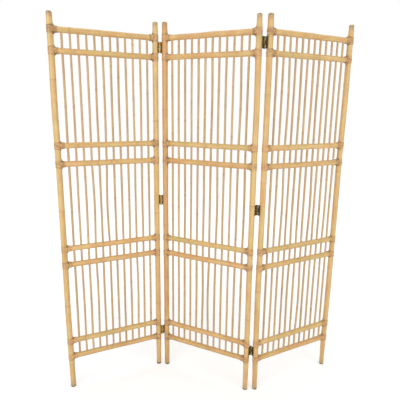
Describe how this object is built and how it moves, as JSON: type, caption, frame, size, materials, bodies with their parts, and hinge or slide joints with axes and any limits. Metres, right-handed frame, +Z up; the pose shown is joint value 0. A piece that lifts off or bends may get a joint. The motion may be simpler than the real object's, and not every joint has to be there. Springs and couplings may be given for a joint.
{
  "type": "folding screen",
  "caption": "Free-standing rattan folding screen of hinged slatted panels: round posts, paired rails, thin canes, lashed joints and butt hinges.",
  "frame": {"origin": "on the floor, at the middle of the bounding box of the screen as it stands in its zigzag", "axes": "+Z up along the posts, +X along the run of the panels to the right, +Y towards the back, away from the viewer"},
  "size_m": [1.38, 0.2522, 1.8],
  "materials": {
    "rattan_pole": "natural rattan with clear satin lacquer",
    "rattan_cane": "natural thin cane with clear satin lacquer",
    "peel_lashing": "wound rattan peel, lacquered",
    "hinge_brass": "antiqued dark brass"
  },
  "bodies": {
    "middle_panel": {"middle_left_post": "rattan_pole", "middle_left_lashings": "peel_lashing", "middle_right_post": "rattan_pole", "middle_right_lashings": "peel_lashing", "middle_rail_1": "rattan_pole", "middle_rail_2": "rattan_pole", "middle_rail_3": "rattan_pole", "middle_rail_4": "rattan_pole", "middle_rail_5": "rattan_pole", "middle_rail_6": "rattan_pole", "middle_rail_7": "rattan_pole", "middle_rail_8": "rattan_pole", "middle_canes": "rattan_cane", "middle_left_leaves": "hinge_brass", "middle_right_leaves": "hinge_brass", "left_hinge_pins": "hinge_brass", "right_hinge_pins": "hinge_brass"},
    "left_panel": {"left_outer_post": "rattan_pole", "left_outer_lashings": "peel_lashing", "left_seam_post": "rattan_pole", "left_seam_lashings": "peel_lashing", "left_rail_1": "rattan_pole", "left_rail_2": "rattan_pole", "left_rail_3": "rattan_pole", "left_rail_4": "rattan_pole", "left_rail_5": "rattan_pole", "left_rail_6": "rattan_pole", "left_rail_7": "rattan_pole", "left_rail_8": "rattan_pole", "left_canes": "rattan_cane", "left_seam_leaves": "hinge_brass"},
    "right_panel": {"right_seam_post": "rattan_pole", "right_seam_lashings": "peel_lashing", "right_outer_post": "rattan_pole", "right_outer_lashings": "peel_lashing", "right_rail_1": "rattan_pole", "right_rail_2": "rattan_pole", "right_rail_3": "rattan_pole", "right_rail_4": "rattan_pole", "right_rail_5": "rattan_pole", "right_rail_6": "rattan_pole", "right_rail_7": "rattan_pole", "right_rail_8": "rattan_pole", "right_canes": "rattan_cane", "right_seam_leaves": "hinge_brass"}
  },
  "joints": [
    {"name": "left_fold", "type": "hinge", "parent": "middle_panel", "child": "left_panel", "pos_m": [-0.22832, 0.08798, 0.94925], "axis": [0, 0, 1], "range_deg": [-51.7, 128.3]},
    {"name": "right_fold", "type": "hinge", "parent": "middle_panel", "child": "right_panel", "pos_m": [0.23676, -0.09949, 0.94925], "axis": [0, 0, 1], "range_deg": [-54.1, 125.9]}
  ]
}
